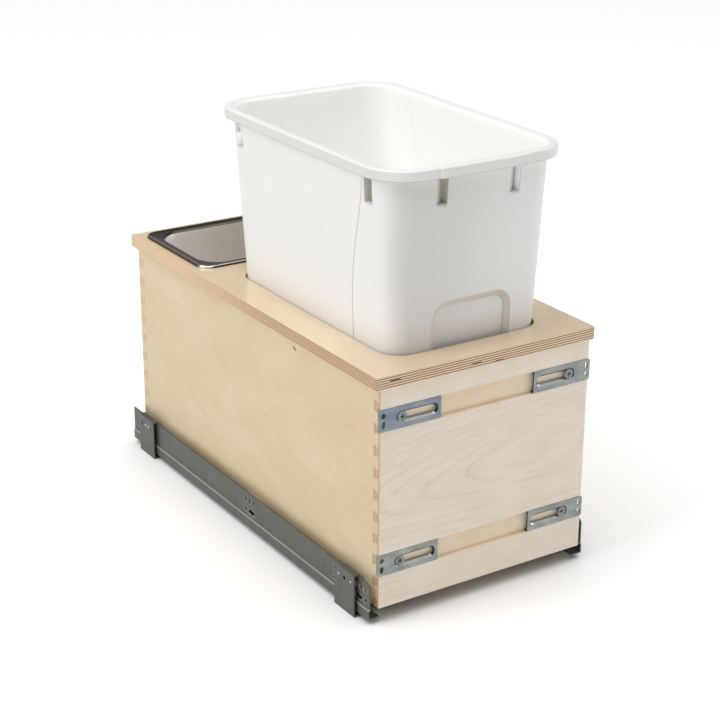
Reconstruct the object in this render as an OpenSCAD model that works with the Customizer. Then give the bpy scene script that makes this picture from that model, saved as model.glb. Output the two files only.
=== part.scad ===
// Pull-out waste bin unit for a kitchen cabinet. A dovetailed drawer box carries a plywood deck with a lift-out
// bin and a lift-out steel pan. It rides on full-extension slides, and sliding brackets on its front hold the door.
// Millimetres, +Z up, the front faces -Y, and the origin is the bottom centre of the closed unit's box.

/* [Box] */
// Width over the side boards
box_w = 275; // [229:1:330]
// Depth from the face of the front panel to the back of the back panel
box_d = 559; // [466:1:671]
// Height of the boards
box_h = 254; // [212:1:305]
// Thickness of the four boards
board_t = 12.7; // [10.6:0.1:15.3]
// Thickness of the bottom panel
bottom_t = 6.3; // [5.2:0.1:7.6]
// Height of the bottom panel above the lower edge of the boards
bottom_lift = 12.7; // [12.7:0.1:16]
// Depth of the groove that holds the bottom panel
bottom_groove = 5; // [3:0.5:7]

/* [Dovetails] */
// Distance from one pin to the next
tail_pitch = 25.4; // [21:0.1:31]
// Height of a pin at its root
pin_h = 13; // [10:0.5:15]
// How much each flank of a tail flares towards its end
tail_flare = 1.5; // [0.5:0.1:2.5]
// Height of the half tail at the top of the box
top_tail = 13.5; // [10:0.5:18]
// Wood left in front of the tails in the front panel
front_lap = 3; // [2:0.1:4]

/* [Deck] */
// Thickness of the plywood deck
deck_t = 14.5; // [12:0.1:18]
// Overhang of the deck at each side
deck_side = 5.8; // [2:0.1:10]
// Overhang of the deck at the front
deck_front = 1; // [0.5:0.1:4]
// Overhang of the deck at the back
deck_back = 7.7; // [2:0.1:12]
// Radius of the deck's vertical corners
deck_corner = 1; // [0.5:0.5:3]
// Radius of the corners of both cut-outs
cutout_corner = 25; // [20:1:27]
// Section of the strips under the deck
strip = 16; // [12:1:18]

/* [Bin] */
// Height of the bin
bin_h = 454; // [378:1:545]
// Thickness of the bin's walls
bin_wall = 3; // [2.5:0.1:3.6]
// Gap from the side of the box to the bin's wall, at the height of the rim
bin_inset = 29.5; // [25:0.5:34]
// Distance from the face of the front panel to the bin's front wall, at the rim
bin_front = 30; // [27:1:40]
// How much each side wall leans in, per millimetre of height
side_draft = 0.0423; // [0.03:0.001:0.05]
// How much the front wall leans in, per millimetre of height
front_draft = 0.045; // [0.03:0.001:0.06]
// How much the back wall leans in, per millimetre of height
back_draft = 0.079; // [0.04:0.001:0.09]
// Corner radius of the bin at the rim
bin_corner = 34; // [26:1:40]
// How far the rim stands out from the walls
rim_out = 10.5; // [8:0.5:12]
// Height of the rim
rim_h = 12; // [9:0.5:15]
// Bulge of the front wall in its middle
front_bow = 4; // [0:0.5:6]
// Gap between the bin and the deck
bin_gap = 1.2; // [1:0.1:2]

/* [Pan] */
// Length of the pan, front to back, over its flange
pan_l = 162; // [135:1:194]
// Gap from the side of the box to the pan's flange
pan_inset = 5; // [3:0.5:8]
// Distance from the pan's flange to the back of the box
pan_back = 3; // [1:0.5:8]
// Width of the pan's flange
pan_flange = 13; // [13:0.5:16]
// Depth of the pan below the deck's top face
pan_depth = 100; // [65:1:120]
// Thickness of the sheet
pan_sheet = 0.8; // [0.6:0.1:1.2]
// Gap between the bin's rim and the pan's flange
pan_bin_gap = 5; // [3:0.5:10]
// Gap between the pan's bowl and the deck
pan_gap = 2; // [1.5:0.1:3]

/* [Slides] */
// Distance from the side of the box to the outer face of a cabinet rail
rail_gap = 8.5; // [7:0.1:10]
// Thickness of the rails' sheet
rail_t = 1.5; // [1.2:0.1:1.8]
// Height of the top edge of a cabinet rail above the lower edge of the box
rail_top = 29; // [26:0.5:36]
// Drop of a cabinet rail below the lower edge of the box
rail_drop = 14.4; // [14.4:0.1:17]
// Distance from the face of the front panel to the front end of the rails
rail_front = 5; // [3:0.5:10]
// Length of the rails beyond the back of the box
rail_back = 16; // [14:0.5:24]
// Diameter of the rollers between the rails
roller_d = 3.9; // [3.6:0.1:4]
// Side clearance between a roller and the rails
roller_gap = 0.05; // [0.03:0.01:0.1]

/* [Floor brackets] */
// Width of a floor bracket
foot_w = 40; // [36:1:48]
// Distance from a cabinet rail to the outer face of its brackets
foot_out = 5; // [4:0.1:6]
// Drop of the brackets below the rails
foot_drop = 5.5; // [4.6:0.1:6.6]
// Distance from the face of the front panel to the front brackets
foot_front = 27.5; // [24:0.5:36]
// Distance from the back of the box to the rear brackets
foot_back = 10; // [6:0.5:20]
// Radius of the screw hole in a bracket
foot_hole_r = 2.3; // [2:0.1:2.7]

/* [Door brackets] */
// Length of a door bracket
plate_l = 78; // [70:1:94]
// Height of a door bracket
plate_h = 25; // [22:0.5:30]
// Depth of a door bracket's channel
plate_d = 5; // [4:0.5:6]
// Thickness of its sheet
plate_t = 2; // [1.6:0.1:2.4]
// How far it stands out past the side of the box
plate_out = 2; // [0:0.5:3]
// Width of its long slot at the surface
plate_slot_w = 13.5; // [12:0.5:14.5]
// Gap between a bracket and its groove in the front panel
plate_gap = 0.3; // [0.2:0.05:0.5]
// Height of the upper brackets' centre below the top of the boards
plate_upper = 34.8; // [28:0.1:42]
// Height of the lower brackets' centre above the lower edge of the boards
plate_lower = 51; // [42:0.1:61]

/* [Hidden] */
$fn = 48;
eps = 0.01;

// The box
half_w = box_w / 2;
inner_w = box_w - 2 * board_t;
floor_z = bottom_lift + bottom_t;
deck_top = box_h + deck_t;
tail_count = floor(box_h / tail_pitch);

// The pan, placed from the back of the box
pan_w = box_w - 2 * pan_inset;
pan_y1 = box_d - pan_back;
pan_y0 = pan_y1 - pan_l;
pan_rim_h = 3;
pan_corner = 18;
bowl_corner = 32;
bowl_draft = 0.06;

// The bin, placed from the front of the box and the pan
bin_body_h = bin_h - rim_h;
bin_z = floor_z;
bin_top = bin_z + bin_h;
bin_half = half_w - bin_inset;
bin_back = pan_y0 - pan_bin_gap - rim_out;
corner_draft = 0.03;
rim_skirt = 2.6;
function bin_a(h) = bin_half - (bin_body_h - h) * side_draft;
function bin_y0(h) = bin_front + (bin_body_h - h) * front_draft;
function bin_y1(h) = bin_back - (bin_body_h - h) * back_draft;
function bin_r(h) = bin_corner - (bin_body_h - h) * corner_draft;
function bin_bow(h) = front_bow * (0.5 + 0.5 * h / bin_body_h);
side_bow = 1.5;
deck_h_on_bin = deck_top - bin_z;

// The slides, measured inwards from the side of the box
rail_end = box_d + rail_back;
rail_len = rail_end - rail_front;
web_z = -rail_drop + rail_t;
step_z = -1.5;
step_out = 1.2;
chan_in = 12.5;
chan_out = 42;
chan_top = -2.5;
chan_lip = 4;
mid_low_z = web_z + roller_d + 2 * roller_gap;
draw_top = bottom_lift;
mid_high_z = draw_top - rail_t - roller_d - 2 * roller_gap;
draw_in = board_t + 1.3;
draw_out = draw_in + 26;
mid_c = (draw_in + draw_out) / 2;
mid_flange = 20;
mid_box = 10.5;
mid_front = board_t + 4;
mid_len = box_d - 2 * mid_front;
cage_len = 200;
cage_y = (box_d - cage_len) / 2;
cage_w = 19;
cage_t = 1;
roller_l = 15;
roller_n = 5;
cage_gap = 0.25;
hook_z = floor_z + 3.6;
hook_pin_r = 2.9;
hook_gap = 0.1;

// The door brackets, measured inwards from a bracket's outer end
plate_slot_x = 21.5;
plate_slot_l = plate_l - plate_slot_x - 3.4;
plate_screw_x = plate_slot_x + plate_slot_w / 2 + 0.8;
plate_neck_w = 9.2;
plate_corner = 3;
plate_end_x = 5.5;
plate_end_z = 5.2;
plate_hole_r = 2.8;
plate_keyhole_w = 4.6;
plate_keyhole_l = 8.2;
plate_proud = 0.5;
screw_r = 2;
screw_head_r = 5.9;
screw_head_h = 2.4;
screw_l = 9;

// The lock devices under the front corners
lock_in = draw_out + 3;
lock_w = 34;
lock_y = board_t + 1.5;
lock_l = 46;
lock_plate = 3.7;
lock_pin_in = lock_in + 18;
lock_pin_y = lock_y + 26;
lock_pin_r = 2;
lock_fit = 0.05;
lever_t = 4.5;
lock_screw_r = 1.5;

foot_z = -rail_drop - foot_drop;
lift = -foot_z;
shift_y = -(rail_end - deck_front) / 2;

// Moves everything from the box's own corner into the row's frame.
module placed() translate([0, shift_y, lift]) children();

// Draws a left-hand piece as it is, or its mirror image on the right. The left is at -X.
module handed(right) mirror([right ? 1 : 0, 0, 0]) children();

// A solid at the left side, with u counted inwards from the side of the box.
module at_side(u, y, z) translate([-half_w + u, y, z]) children();

module rounded_rect(w, l, r) {
    translate([r, 0]) square([w - 2 * r, l]);
    translate([0, r]) square([w, l - 2 * r]);
    for (x = [r, w - r], y = [r, l - r]) translate([x, y]) circle(r);
}

module obround(l, w) {
    translate([-(l - w) / 2, -w / 2]) square([l - w, w]);
    for (s = [-1, 1]) translate([s * (l - w) / 2, 0]) circle(d = w);
}

// ---- outlines and lofts for the bin and the pan

corner_steps = 6;
bulge_steps = 5;

// A rounded rectangle whose sides bulge by bow at the sides and bow_f at the front, counter-clockwise.
function outline(a, y0, y1, r, bow = 0, bow_f = 0) =
    let (ym = (y0 + y1) / 2, hy = (y1 - y0) / 2, side_steps = bow + bow_f > 0 ? bulge_steps : 1,
        corners = [[a - r, y0 + r], [a - r, y1 - r], [r - a, y1 - r], [r - a, y0 + r]],
        base = [for (c = [0:3])
            let (p = corners[c], q = corners[(c + 1) % 4], t0 = 90 * c - 90, t1 = 90 * c,
                from = p + r * [cos(t1), sin(t1)], to = q + r * [cos(t1), sin(t1)])
            each concat(
                [for (i = [0:corner_steps]) p + r * [cos(t0 + 90 * i / corner_steps), sin(t0 + 90 * i / corner_steps)]],
                [for (i = [1:1:side_steps - 1]) from + (to - from) * i / side_steps])])
    [for (p = base)
        let (u = p[0] / a, v = (p[1] - ym) / hy)
        [p[0] + bow * u * (1 - v * v), p[1] + (v < 0 ? bow_f * v * (1 - u * u) : 0)]];

// A solid through a stack of outlines, each [height, points].
module loft(stack) {
    n = len(stack[0][1]);
    m = len(stack);
    points = [for (s = stack, p = s[1]) [p[0], p[1], s[0]]];
    walls = [for (k = [0:m - 2], i = [0:n - 1])
        let (j = (i + 1) % n, a = k * n, b = a + n)
        each [[a + i, b + i, b + j], [a + i, b + j, a + j]]];
    polyhedron(points, concat([[for (i = [0:n - 1]) i]], walls, [[for (i = [n - 1:-1:0]) (m - 1) * n + i]]));
}

// ---- wooden box

// A tail lower than this at the bottom of the boards is left out, and the pin above it runs down to the edge.
least_tail = 3;

// Flanks of the tails: the outline of every pin above low, between y0, the root, and y1, the tails' ends.
module pins_2d(y0, y1, low) {
    intersection() {
        translate([min(y0, y1), low]) square([abs(y1 - y0), box_h - low]);
        union() for (k = [0:tail_count]) {
            top = box_h - top_tail - k * tail_pitch;
            last = top - pin_h < least_tail;
            polygon([[y0, top], [y0, last ? -1 : top - pin_h], [y1, last ? -1 : top - pin_h + tail_flare],
                [y1, top - tail_flare]]);
        }
    }
}

// The same outline as a solid through a side board's thickness, at the left.
module pins(y0, y1, low = 0) at_side(0, 0, 0) rotate([90, 0, 90]) linear_extrude(board_t) pins_2d(y0, y1, low);

plate_zs = [plate_lower, box_h - plate_upper];

module front_grooves() for (z = plate_zs)
    translate([-half_w - 1, -1, z - plate_h / 2 - plate_gap])
        cube([box_w + 2, 1 + plate_d - plate_proud + plate_gap, plate_h + 2 * plate_gap]);

// The groove for the bottom panel, as the panel itself.
module bottom_solid() translate([-inner_w / 2 - bottom_groove, board_t - bottom_groove, bottom_lift])
    cube([inner_w + 2 * bottom_groove, box_d - 2 * board_t + 2 * bottom_groove, bottom_t]);

module side(right) color("burlywood") placed() handed(right) difference() {
    at_side(0, front_lap, 0) cube([board_t, box_d - front_lap, box_h]);
    pins(board_t, front_lap);
    pins(box_d - board_t, box_d, bottom_lift);
    bottom_solid();
    front_grooves();
}

module tail_sockets(y0, y1, low = 0) for (right = [false, true]) handed(right) difference() {
    at_side(-1, min(y0, y1), -1) cube([board_t + 1, abs(y1 - y0), box_h + 2]);
    pins(y0, y1, low);
}

module front_panel() color("wheat") placed() difference() {
    translate([-half_w, 0, 0]) cube([box_w, board_t, box_h]);
    tail_sockets(board_t, front_lap);
    bottom_solid();
    front_grooves();
    for (right = [false, true], z = plate_zs) handed(right)
        at_side(plate_screw_x - plate_out, 0, z) rotate([-90, 0, 0]) cylinder(r = screw_r, h = board_t - 1);
}

module back_panel() color("burlywood") placed() difference() {
    translate([-half_w, box_d - board_t, 0]) cube([box_w, board_t, box_h]);
    tail_sockets(box_d - board_t, box_d, bottom_lift);
    bottom_solid();
    for (right = [false, true]) handed(right) {
        at_side(board_t, box_d - board_t - 1, -1) cube([draw_out - board_t + 3, board_t + 2, bottom_lift + 1]);
        at_side(mid_c, box_d - 10, hook_z) rotate([-90, 0, 0]) cylinder(r = hook_pin_r + hook_gap, h = 11);
    }
}

module bottom_panel() color("navajowhite") placed() difference() {
    bottom_solid();
    lock_screw_places() cylinder(r = lock_screw_r, h = 60, center = true);
}

// ---- deck

deck_screw_x = 60;
strip_y = board_t;
cross_l = 24;
cross_y = (bin_y1(deck_h_on_bin) + pan_y0 + pan_flange) / 2 - cross_l / 2;
deck_screw_ys = [strip_y + strip / 2, cross_y + cross_l / 2];
deck_screw_l = strip + deck_t - 4;

module deck_screw_places() for (x = [-deck_screw_x, deck_screw_x], y = deck_screw_ys)
    translate([x, y, box_h - strip]) children();

module bin_cutout() {
    h = deck_h_on_bin;
    translate([0, 0, box_h - 1]) linear_extrude(deck_t + 2) polygon(outline(bin_a(h) + bin_gap,
        bin_y0(h) - bin_gap, bin_y1(h) + bin_gap, cutout_corner, side_bow, bin_bow(h)));
}

module pan_cutout() {
    w = pan_w - 2 * pan_flange + 2 * pan_gap;
    l = pan_l - 2 * pan_flange + 2 * pan_gap;
    translate([-w / 2, pan_y0 + pan_flange - pan_gap, box_h - 1])
        linear_extrude(deck_t + 2) rounded_rect(w, l, cutout_corner);
}

module deck() color("moccasin") placed() difference() {
    translate([-half_w - deck_side, -deck_front, box_h]) linear_extrude(deck_t)
        rounded_rect(box_w + 2 * deck_side, box_d + deck_front + deck_back, deck_corner);
    bin_cutout();
    pan_cutout();
    deck_screw_places() cylinder(r = screw_r, h = deck_screw_l);
}

module front_strip() color("tan") placed() difference() {
    translate([-inner_w / 2, strip_y, box_h - strip]) cube([inner_w, strip, strip]);
    deck_screw_places() cylinder(r = screw_r, h = 3 * strip, center = true);
}

module cross_rail() color("tan") placed() difference() {
    translate([-inner_w / 2, cross_y, box_h - strip]) cube([inner_w, cross_l, strip]);
    deck_screw_places() cylinder(r = screw_r, h = 3 * strip, center = true);
}

module deck_screws() color("silver") placed() deck_screw_places() {
    cylinder(r = screw_r, h = deck_screw_l);
    translate([0, 0, -2]) cylinder(r = 4, h = 2);
}

// ---- bin

function bin_ring(h, grow = 0) = outline(bin_a(h) + grow, bin_y0(h) - grow, bin_y1(h) + grow,
    bin_r(h) + grow, side_bow, bin_bow(h));

pocket_depth = 7.5;
pocket_w = 14;
pocket_z = 31;
pocket_front_x = 53.6;
pocket_side_front = 48.5;
pocket_side_back = 29.5;

// The places of the pockets under the rim: two at the front and two on the left side. Y runs inwards there.
module pocket_places() {
    h = bin_z + bin_body_h - pocket_z;
    for (x = [pocket_w - pocket_front_x, pocket_front_x]) translate([x, bin_front - front_bow, h]) children();
    for (y = [bin_front + pocket_side_front, bin_back - pocket_side_back])
        translate([-bin_half - 1, y, h]) rotate(-90) mirror([1, 0]) children();
}

// A wedge-shaped pocket: a long slanted face and a short steep one.
module pocket() linear_extrude(pocket_z) polygon([[-pocket_w, -rim_out], [-pocket_w, 0], [-2.4, pocket_depth],
    [-1.2, pocket_depth], [0, 0], [0, -rim_out]]);

// The wall round a pocket, so that it doesn't break through.
module pocket_wall() translate([-pocket_w - bin_wall, -rim_out, -bin_wall])
    cube([pocket_w + 2 * bin_wall, rim_out + pocket_depth + bin_wall, pocket_z + bin_wall]);

arch_half = 52;
arch_rise = 51;
arch_slope = 9;
arch_depth = 4.5;
arch_corner = 22;

// The hand recess low on the front wall, with sloping sides.
module arch(grow) {
    w = 2 * (arch_half - grow);
    top = deck_h_on_bin + arch_rise - grow;
    translate([-w / 2, 0, 0]) {
        square([w, top - arch_corner]);
        translate([arch_corner, top - arch_corner - eps]) square([w - 2 * arch_corner, arch_corner + eps]);
        for (x = [arch_corner, w - arch_corner]) translate([x, top - arch_corner]) circle(arch_corner);
    }
}

module arch_cut() {
    lean = atan(front_draft);
    steps = 4;
    for (k = [0:steps - 1]) let (d = arch_depth * (k + 1) / steps)
        translate([0, bin_y0(0) - front_bow, bin_z]) rotate([90 + lean, 0, 0])
            translate([0, 0, -d - 1.5]) linear_extrude(30 + d) arch(arch_slope * k / (steps - 1));
}

module bin() color("white") placed() difference() {
    union() {
        loft([[bin_z, bin_ring(0, -6)], [bin_z + 2, bin_ring(2, -1.5)], [bin_z + 7, bin_ring(7)],
            [bin_z + bin_body_h, bin_ring(bin_body_h)]]);
        loft([[bin_top - rim_h, bin_ring(bin_body_h, rim_out - 0.5)], [bin_top - 4, bin_ring(bin_body_h, rim_out)],
            [bin_top - 1.5, bin_ring(bin_body_h, rim_out - 1.3)], [bin_top, bin_ring(bin_body_h, rim_out - 4.5)]]);
    }
    difference() {
        loft([[bin_top - rim_h - 1, bin_ring(bin_body_h, rim_out - rim_skirt)],
            [bin_top - rim_skirt, bin_ring(bin_body_h, rim_out - rim_skirt)]]);
        loft([[bin_top - rim_h - 2, bin_ring(bin_body_h)], [bin_top, bin_ring(bin_body_h)]]);
    }
    difference() {
        loft([[bin_z + bin_wall, bin_ring(bin_wall, -8 - bin_wall)],
            [bin_z + bin_wall + 5, bin_ring(bin_wall + 5, -bin_wall)],
            [bin_top - 4, bin_ring(bin_body_h, -bin_wall)], [bin_top - 1, bin_ring(bin_body_h, -1)],
            [bin_top + 1, bin_ring(bin_body_h, 1)]]);
        pocket_places() pocket_wall();
        arch_back();
    }
    pocket_places() pocket();
    arch_cut();
}

module arch_back() {
    lean = atan(front_draft);
    translate([0, bin_y0(0) - front_bow, bin_z]) rotate([90 + lean, 0, 0])
        translate([0, 0, -arch_depth - 1.5 - bin_wall]) linear_extrude(40) arch(-bin_wall);
}

// ---- pan

function pan_ring(inset, r) = outline(pan_w / 2 - inset, pan_y0 + inset, pan_y1 - inset, r);

module pan_bowl(skin, top) {
    foot = pan_flange + pan_depth * bowl_draft;
    low = deck_top - pan_depth + skin;
    loft([[low, pan_ring(foot + 12 + skin, bowl_corner - 8)], [low + 2.5, pan_ring(foot + 4 + skin, bowl_corner - 3)],
        [low + 8, pan_ring(foot + skin, bowl_corner)], [deck_top - 2, pan_ring(pan_flange + skin, bowl_corner)],
        [top, pan_ring(pan_flange + skin - 1.5, bowl_corner)]]);
}

module pan() color("lightgray") placed() {
    top = deck_top + pan_rim_h;
    difference() {
        union() {
            pan_bowl(0, top - pan_sheet);
            loft([[deck_top, pan_ring(0.6, pan_corner)], [top - 1, pan_ring(0, pan_corner)],
                [top, pan_ring(1.2, pan_corner)]]);
        }
        difference() {
            loft([[deck_top - 1, pan_ring(1.6, pan_corner)], [top - pan_sheet - 0.4, pan_ring(1.6, pan_corner)]]);
            pan_bowl(0, top);
        }
        pan_bowl(pan_sheet, top + 1);
    }
}

// ---- door brackets

// A slot that narrows like a countersink from the face inwards, drawn along +X at its left round end's centre.
module countersunk_slot() {
    r0 = plate_slot_w / 2;
    r1 = plate_neck_w / 2;
    run = plate_slot_l - plate_slot_w;
    deep = plate_t + 2 * eps;
    for (x = [0, run]) translate([x, -eps, 0]) rotate([-90, 0, 0]) cylinder(r1 = r0, r2 = r1, h = deep);
    rotate([90, 0, 90]) linear_extrude(run) polygon([[-eps, -r0], [-eps, r0], [deep - eps, r1], [deep - eps, -r1]]);
}

// Left-hand bracket with its outer end at x = 0 and its face at y = 0.
module plate_solid() difference() {
    rotate([90, 0, 0]) mirror([0, 0, 1]) linear_extrude(plate_d) {
        translate([plate_corner, -plate_h / 2]) square([plate_l - plate_corner, plate_h]);
        translate([0, plate_corner - plate_h / 2]) square([plate_corner, plate_h - 2 * plate_corner]);
        for (s = [-1, 1]) translate([plate_corner, s * (plate_h / 2 - plate_corner)]) circle(plate_corner);
    }
    translate([-1, plate_t, -plate_h / 2 + plate_t]) cube([plate_l + 2, plate_d, plate_h - 2 * plate_t]);
    translate([plate_slot_x + plate_slot_w / 2, 0, 0]) countersunk_slot();
    translate([plate_end_x, -1, plate_end_z]) rotate([-90, 0, 0]) cylinder(r = plate_hole_r, h = plate_d);
    translate([plate_end_x, -1, -plate_end_z]) rotate([-90, 90, 0]) linear_extrude(plate_d)
        obround(plate_keyhole_l, plate_keyhole_w);
}

// The same part serves every corner: on the right it is turned half round.
module door_bracket(right, z) color("slategray") placed()
    translate([(right ? 1 : -1) * (half_w + plate_out), -plate_proud, z]) rotate([0, right ? 180 : 0, 0]) plate_solid();

module cross_recess() for (a = [0, 90]) rotate([0, a, 0]) translate([-0.55, -eps, -2.6]) cube([1.1, 1.3, 5.2]);

module bracket_screws() color("silver") placed() for (right = [false, true], z = plate_zs)
    handed(right) at_side(plate_screw_x - plate_out, 0, z) difference() {
        union() {
            translate([0, -plate_proud + 0.15, 0]) rotate([-90, 0, 0])
                cylinder(r1 = screw_head_r, r2 = screw_r, h = screw_head_h);
            rotate([-90, 0, 0]) cylinder(r = screw_r, h = screw_l);
        }
        translate([0, -plate_proud + 0.15, 0]) cross_recess();
    }

// ---- cabinet rails and floor brackets

slot_row_z = 18.4;
hole_row_z = 6;
rail_slot_w = 5;
rail_slot_h = 7.5;
rail_hole_r = 2.7;
group_step = 9;
long_slot = 15;
front_group = rail_front + 8;
mid_group = rail_front + 252;
pair_y = foot_front + foot_w + 8;
rail_nose_r = 6;
toe_w = 14.5;
toe_l = 24;
foot_rear_y = box_d - foot_back - foot_w;
foot_step = 12;
dimple_z = 19.8;
foot_screw_ys = [foot_front + foot_w / 2, foot_rear_y + foot_w / 2 + foot_step];

// Holes through the upright plate: three upright slots over one hole and one long slot.
module hole_group(y) {
    for (k = [0:2]) translate([y + k * group_step, slot_row_z]) rotate(90) obround(rail_slot_h, rail_slot_w);
    translate([y, hole_row_z]) circle(rail_hole_r);
    translate([y + 1.5 * group_step, hole_row_z]) obround(long_slot, rail_slot_w);
}

module rail_holes() {
    hole_group(front_group);
    translate([mid_group, 0]) mirror([1, 0]) hole_group(-2 * group_step);
    for (z = [slot_row_z, hole_row_z]) translate([pair_y, z]) circle(rail_hole_r);
    for (y = foot_screw_ys) translate([y, dimple_z]) circle(foot_hole_r + 1.2);
}

module cabinet_rail(right) color("dimgray") placed() handed(right) {
    low = -rail_drop;
    difference() {
        union() {
            at_side(-rail_gap, 0, 0) rotate([90, 0, 90]) linear_extrude(rail_t) difference() {
                union() {
                    translate([rail_front, step_z]) square([rail_len, rail_top - step_z - rail_nose_r]);
                    translate([rail_front + rail_nose_r, step_z]) square([rail_len - rail_nose_r, rail_top - step_z]);
                    translate([rail_front + rail_nose_r, rail_top - rail_nose_r]) circle(rail_nose_r);
                }
                rail_holes();
            }
            at_side(-rail_gap - step_out, rail_front, step_z - rail_t) cube([step_out + rail_t, rail_len, rail_t]);
            at_side(-rail_gap - step_out, rail_front, low) cube([rail_t, rail_len, step_z - low]);
            at_side(-rail_gap - step_out, rail_front, low) cube([toe_w, rail_len, rail_t]);
            at_side(-rail_gap, rail_front + toe_l, low) cube([rail_gap + chan_out, rail_len - toe_l, rail_t]);
            for (u = [chan_in, chan_out - rail_t])
                at_side(u, rail_front + toe_l, low) cube([rail_t, rail_len - toe_l, chan_top - low]);
            for (u = [chan_in, chan_out - chan_lip - rail_t])
                at_side(u, rail_front + toe_l, chan_top - rail_t) cube([chan_lip + rail_t, rail_len - toe_l, rail_t]);
        }
    }
}

foot_hook = 7;
dimple_r = 2.6;

// screw: which of the three marks is the screw hole, counted from the front.
module floor_bracket(right, y, screw) color("gray") placed() handed(right) {
    face = -rail_gap - foot_out;
    top = rail_top + rail_t;
    difference() {
        union() {
            at_side(face, y, foot_z) cube([rail_t, foot_w, top - foot_z]);
            at_side(face, y, rail_top) cube([foot_out + 2 * rail_t, foot_w, rail_t]);
            at_side(-rail_gap + rail_t, y, top - foot_hook) cube([rail_t, foot_w, foot_hook]);
            at_side(face, y, foot_z) cube([foot_out + toe_w - step_out, foot_w, rail_t]);
            at_side(-rail_gap + toe_w - step_out - rail_t, y, foot_z) cube([rail_t, foot_w, foot_drop]);
        }
        for (k = [0:2]) at_side(face, y + foot_w / 2 + (k - 1) * foot_step, dimple_z)
            if (k == screw) rotate([0, 90, 0]) cylinder(r = foot_hole_r, h = 4, center = true);
            else translate([-dimple_r + 0.7, 0, 0]) sphere(dimple_r);
    }
}

module rail_bumpers() color("black") placed() for (right = [false, true]) handed(right)
    at_side(mid_c - mid_flange / 2, rail_end - 8, web_z) cube([mid_flange, 6, chan_top - rail_t - web_z]);

// ---- moving rails and rollers

module mid_rail(right) color("darkgray") placed() handed(right) difference() {
    union() {
        at_side(mid_c - mid_flange / 2, mid_front, mid_low_z) cube([mid_flange, mid_len, rail_t]);
        at_side(mid_c - mid_flange / 2, mid_front, mid_high_z - rail_t) cube([mid_flange, mid_len, rail_t]);
        at_side(mid_c - mid_box / 2, mid_front, mid_low_z) cube([mid_box, mid_len, mid_high_z - mid_low_z]);
    }
    at_side(mid_c - mid_box / 2 + rail_t, mid_front - 1, mid_low_z + rail_t)
        cube([mid_box - 2 * rail_t, mid_len + 2, mid_high_z - mid_low_z - 2 * rail_t]);
}

draw_low = 1;
draw_lip = 2.5;
draw_front = board_t + 1.5;
draw_end = box_d + 2;

module drawer_rail(right) color("silver") placed() handed(right) {
    len = draw_end - draw_front;
    at_side(draw_in, draw_front, draw_top - rail_t) cube([draw_out - draw_in, len, rail_t]);
    for (u = [draw_in, draw_out - rail_t]) at_side(u, draw_front, draw_low) cube([rail_t, len, draw_top - draw_low]);
    for (u = [draw_in, draw_out - draw_lip - rail_t])
        at_side(u, draw_front, draw_low) cube([draw_lip + rail_t, len, rail_t]);
    at_side(mid_c - 7, draw_end - rail_t, draw_top - rail_t) cube([14, rail_t, hook_z + 5 - draw_top + rail_t]);
    at_side(mid_c, box_d - 9, hook_z) rotate([-90, 0, 0]) cylinder(r = hook_pin_r, h = draw_end - box_d + 9);
}

module roller_places(z) for (k = [0:roller_n - 1])
    at_side(mid_c, cage_y + cage_len * (k + 0.5) / roller_n, z) rotate([0, 90, 0]) children();

lower_roller_z = web_z + roller_gap + roller_d / 2;
upper_roller_z = draw_top - rail_t - roller_gap - roller_d / 2;

module rollers(z) color("silver") placed() for (right = [false, true]) handed(right)
    roller_places(z) cylinder(d = roller_d, h = roller_l, center = true);

module cage(right, z) color("ivory") placed() handed(right) difference() {
    at_side(mid_c - cage_w / 2, cage_y, z - cage_t / 2) cube([cage_w, cage_len, cage_t]);
    roller_places(z) cube([2 * cage_t, roller_d + 2 * cage_gap, roller_l + 2 * cage_gap], center = true);
}

// ---- lock devices

lock_z = bottom_lift - lock_plate;
lever_top = lock_z - 0.5;
lever_grip_in = lock_pin_in + 34;
lever_grip_y = lock_pin_y - 9;

module lock_screw_places() for (right = [false, true]) handed(right)
    for (p = [[7, 8], [26, 8]]) at_side(lock_in + p[0], lock_y + p[1], lock_z) children();

module lock_housing(right) color("black") placed() difference() {
    handed(right) {
        at_side(lock_in, lock_y, lock_z) cube([lock_w, lock_l, lock_plate]);
        at_side(lock_in, lock_y, lock_z - 8) cube([lock_w, 2.5, 8 + eps]);
    }
    lock_screw_places() cylinder(r = lock_screw_r, h = 40, center = true);
    handed(right) at_side(lock_pin_in, lock_pin_y, lock_z - 1) cylinder(r = lock_pin_r, h = lock_plate + 2);
}

module lock_screws() color("silver") placed() lock_screw_places() {
    cylinder(r = lock_screw_r, h = lock_plate + bottom_t - 1);
    translate([0, 0, -1.8]) cylinder(r = 3, h = 1.8);
}

module lock_pins() color("silver") placed() for (right = [false, true]) handed(right)
    at_side(lock_pin_in, lock_pin_y, 0) {
        translate([0, 0, lever_top - lever_t - 0.5]) cylinder(r = lock_pin_r, h = bottom_lift - lever_top + lever_t + 0.5);
        translate([0, 0, lever_top - lever_t - 1.5]) cylinder(r = lock_pin_r + 1.5, h = 1);
    }

module lock_lever(right) color("orange") placed() handed(right)
    translate([0, 0, lever_top - lever_t]) linear_extrude(lever_t) difference() {
        union() {
            translate([-half_w + lock_pin_in, lock_pin_y]) circle(6);
            translate([-half_w + lock_pin_in - 17, lock_pin_y - 2.5]) square([17, 5]);
            translate([-half_w + lock_pin_in, lock_pin_y - 3]) square([lever_grip_in - lock_pin_in, 6]);
            translate([-half_w + lever_grip_in - 4, lever_grip_y]) square([8, lock_pin_y - lever_grip_y + 3]);
            translate([-half_w + lever_grip_in, lever_grip_y]) circle(4);
        }
        translate([-half_w + lock_pin_in, lock_pin_y]) circle(lock_pin_r + lock_fit);
    }

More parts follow.
